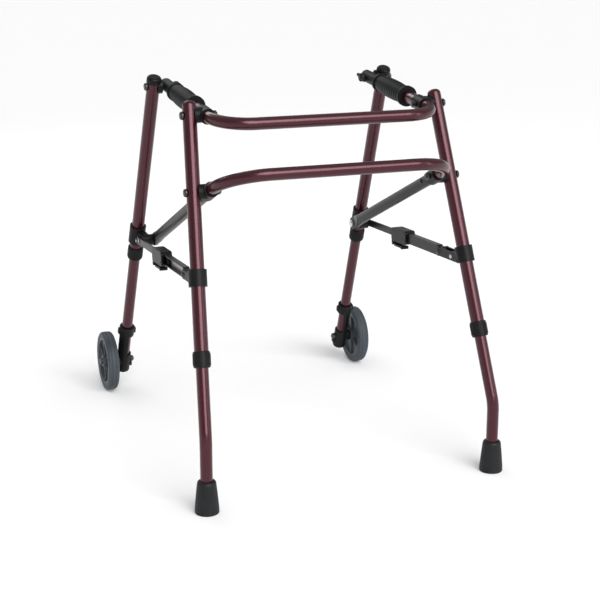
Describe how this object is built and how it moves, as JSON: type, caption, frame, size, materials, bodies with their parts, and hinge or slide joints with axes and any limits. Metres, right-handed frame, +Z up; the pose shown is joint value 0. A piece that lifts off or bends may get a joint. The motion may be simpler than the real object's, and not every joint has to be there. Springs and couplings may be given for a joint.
{
  "type": "posterior walker",
  "caption": "Folding posterior walking frame: crossbars behind the user, hand grips at the sides, leg extensions with twist collars, rubber tips behind and wheels in front.",
  "frame": {"origin": "on the floor, at the middle of the walker's width and depth", "axes": "+X to the user's right, +Y forward, the way the user walks, +Z up"},
  "size_m": [0.6208, 0.7977, 0.7155],
  "materials": {
    "tube": "burgundy lacquer over drawn tube, glossy",
    "arm": "black satin lacquer over drawn tube",
    "moulding": "black moulded nylon, fine grain",
    "grip": "black soft rubber",
    "tip": "dark grey moulded rubber",
    "wheel": "slate grey moulded plastic",
    "tyre": "slate grey solid rubber",
    "bolt": "bright zinc plate",
    "stay": "black enamel",
    "slider": "bright drawn flat bar"
  },
  "bodies": {
    "rear_frame": {"rear_leg_r": "tube", "rear_leg_l": "tube", "rear_saddle_top_r": "moulding", "rear_saddle_top_l": "moulding", "rear_saddle_mid_r": "moulding", "rear_saddle_mid_l": "moulding", "rear_bolt_top_r": "bolt", "rear_bolt_top_l": "bolt", "rear_bolt_mid_r": "bolt", "rear_bolt_mid_l": "bolt", "stay_clamp_r": "moulding", "stay_clamp_l": "moulding"},
    "top_bar": {"top_bar": "tube", "top_sleeve_r": "moulding", "top_sleeve_l": "moulding", "grip_r": "grip", "grip_l": "grip"},
    "front_legs": {"front_leg_r": "tube", "front_leg_l": "tube", "front_cap_r": "moulding", "front_cap_l": "moulding", "front_bolt_r": "bolt", "front_bolt_l": "bolt", "front_bracket_r": "moulding", "front_bracket_l": "moulding"},
    "back_bar": {"back_bar": "tube", "back_sleeve_r": "moulding", "back_sleeve_l": "moulding", "side_arm_r": "arm", "side_arm_l": "arm", "arm_rivet_r": "bolt", "arm_rivet_l": "bolt"},
    "rear_collar_r": {"rear_collar_r": "moulding"},
    "rear_ext_r": {"rear_ext_r": "tube", "rear_tip_r": "tip"},
    "wing_knob_r": {"wing_knob_r": "moulding"},
    "front_collar_r": {"front_collar_r": "moulding"},
    "front_ext_r": {"front_ext_r": "tube", "wheel_bracket_r": "moulding", "axle_r": "bolt"},
    "wheel_r": {"wheel_hub_r": "wheel", "tyre_r": "tyre"},
    "stay_r": {"stay_channel_r": "stay", "stay_housing_r": "moulding"},
    "stay_latch_r": {"stay_latch_r": "moulding"},
    "stay_bar_r": {"stay_bar_r": "slider"},
    "rear_collar_l": {"rear_collar_l": "moulding"},
    "rear_ext_l": {"rear_ext_l": "tube", "rear_tip_l": "tip"},
    "wing_knob_l": {"wing_knob_l": "moulding"},
    "front_collar_l": {"front_collar_l": "moulding"},
    "front_ext_l": {"front_ext_l": "tube", "wheel_bracket_l": "moulding", "axle_l": "bolt"},
    "wheel_l": {"wheel_hub_l": "wheel", "tyre_l": "tyre"},
    "stay_l": {"stay_channel_l": "stay", "stay_housing_l": "moulding"},
    "stay_latch_l": {"stay_latch_l": "moulding"},
    "stay_bar_l": {"stay_bar_l": "slider"}
  },
  "joints": [
    {"name": "fold", "type": "hinge", "parent": "rear_frame", "child": "top_bar", "pos_m": [0, -0.1791, 0.67], "axis": [-1, 0, 0], "range_deg": [0, 70]},
    {"name": "back_bar_pivot", "type": "hinge", "parent": "rear_frame", "child": "back_bar", "pos_m": [0, -0.22656, 0.541], "axis": [-1, 0, 0], "range_deg": [0, 57.27]},
    {"name": "front_leg_pivot", "type": "hinge", "parent": "top_bar", "child": "front_legs", "pos_m": [0, 0.07344, 0.692], "axis": [1, 0, 0], "range_deg": [0, 38.66]},
    {"name": "rear_extension_r", "type": "slide", "parent": "rear_frame", "child": "rear_ext_r", "axis": [0.0679, -0.3445, -0.9363], "range_m": [-0.05, 0.06]},
    {"name": "rear_collar_twist_r", "type": "hinge", "parent": "rear_frame", "child": "rear_collar_r", "pos_m": [0.26935, -0.32792, 0.26551], "axis": [-0.0679, 0.3445, 0.9363], "range_deg": [0, 60]},
    {"name": "wing_knob_turn_r", "type": "hinge", "parent": "front_legs", "child": "wing_knob_r", "pos_m": [0.24, 0.07344, 0.692], "axis": [1, 0, 0], "continuous": true},
    {"name": "front_extension_r", "type": "slide", "parent": "front_legs", "child": "front_ext_r", "axis": [0.0258, 0.3842, -0.9229], "range_m": [-0.05, 0.06]},
    {"name": "front_collar_twist_r", "type": "hinge", "parent": "front_legs", "child": "front_collar_r", "pos_m": [0.25005, 0.22327, 0.33207], "axis": [-0.0258, -0.3842, 0.9229], "range_deg": [0, 60]},
    {"name": "wheel_roll_r", "type": "hinge", "parent": "front_ext_r", "child": "wheel_r", "pos_m": [0.29204, 0.33486, 0.064], "axis": [1, 0, 0], "continuous": true},
    {"name": "stay_pivot_r", "type": "hinge", "parent": "rear_frame", "child": "stay_r", "pos_m": [0.254, -0.19881, 0.387], "axis": [-1, 0, 0], "range_deg": [0, 78.28]},
    {"name": "stay_slide_r", "type": "slide", "parent": "stay_r", "child": "stay_bar_r", "axis": [0, -0.9986, 0.0534], "range_m": [0, 0.09321]},
    {"name": "stay_latch_press_r", "type": "hinge", "parent": "stay_r", "child": "stay_latch_r", "pos_m": [0.254, 0.01492, 0.35755], "axis": [-1, 0, 0], "range_deg": [0, 6], "stiffness_Nm_per_rad": 0.8, "springref_deg": -5.73},
    {"name": "rear_extension_l", "type": "slide", "parent": "rear_frame", "child": "rear_ext_l", "axis": [-0.0679, -0.3445, -0.9363], "range_m": [-0.05, 0.06]},
    {"name": "rear_collar_twist_l", "type": "hinge", "parent": "rear_frame", "child": "rear_collar_l", "pos_m": [-0.26935, -0.32792, 0.26551], "axis": [0.0679, 0.3445, 0.9363], "range_deg": [0, 60]},
    {"name": "wing_knob_turn_l", "type": "hinge", "parent": "front_legs", "child": "wing_knob_l", "pos_m": [-0.24, 0.07344, 0.692], "axis": [-1, 0, 0], "continuous": true},
    {"name": "front_extension_l", "type": "slide", "parent": "front_legs", "child": "front_ext_l", "axis": [-0.0258, 0.3842, -0.9229], "range_m": [-0.05, 0.06]},
    {"name": "front_collar_twist_l", "type": "hinge", "parent": "front_legs", "child": "front_collar_l", "pos_m": [-0.25005, 0.22327, 0.33207], "axis": [0.0258, -0.3842, 0.9229], "range_deg": [0, 60]},
    {"name": "wheel_roll_l", "type": "hinge", "parent": "front_ext_l", "child": "wheel_l", "pos_m": [-0.29204, 0.33486, 0.064], "axis": [1, 0, 0], "continuous": true},
    {"name": "stay_pivot_l", "type": "hinge", "parent": "rear_frame", "child": "stay_l", "pos_m": [-0.254, -0.19881, 0.387], "axis": [-1, 0, 0], "range_deg": [0, 78.28]},
    {"name": "stay_slide_l", "type": "slide", "parent": "stay_l", "child": "stay_bar_l", "axis": [0, -0.9986, 0.0534], "range_m": [0, 0.09321]},
    {"name": "stay_latch_press_l", "type": "hinge", "parent": "stay_l", "child": "stay_latch_l", "pos_m": [-0.254, 0.01492, 0.35755], "axis": [-1, 0, 0], "range_deg": [0, 6], "stiffness_Nm_per_rad": 0.8, "springref_deg": -5.73}
  ],
  "couplings": [
    {"joint": "back_bar_pivot", "follows": "fold", "ratio": 0.81739},
    {"joint": "front_leg_pivot", "follows": "fold", "ratio": 0.55155},
    {"joint": "stay_pivot_r", "follows": "fold", "ratio": 1.1176},
    {"joint": "stay_slide_r", "follows": "fold", "m_per_rad": 0.076128},
    {"joint": "stay_pivot_l", "follows": "fold", "ratio": 1.1176},
    {"joint": "stay_slide_l", "follows": "fold", "m_per_rad": 0.076128}
  ]
}
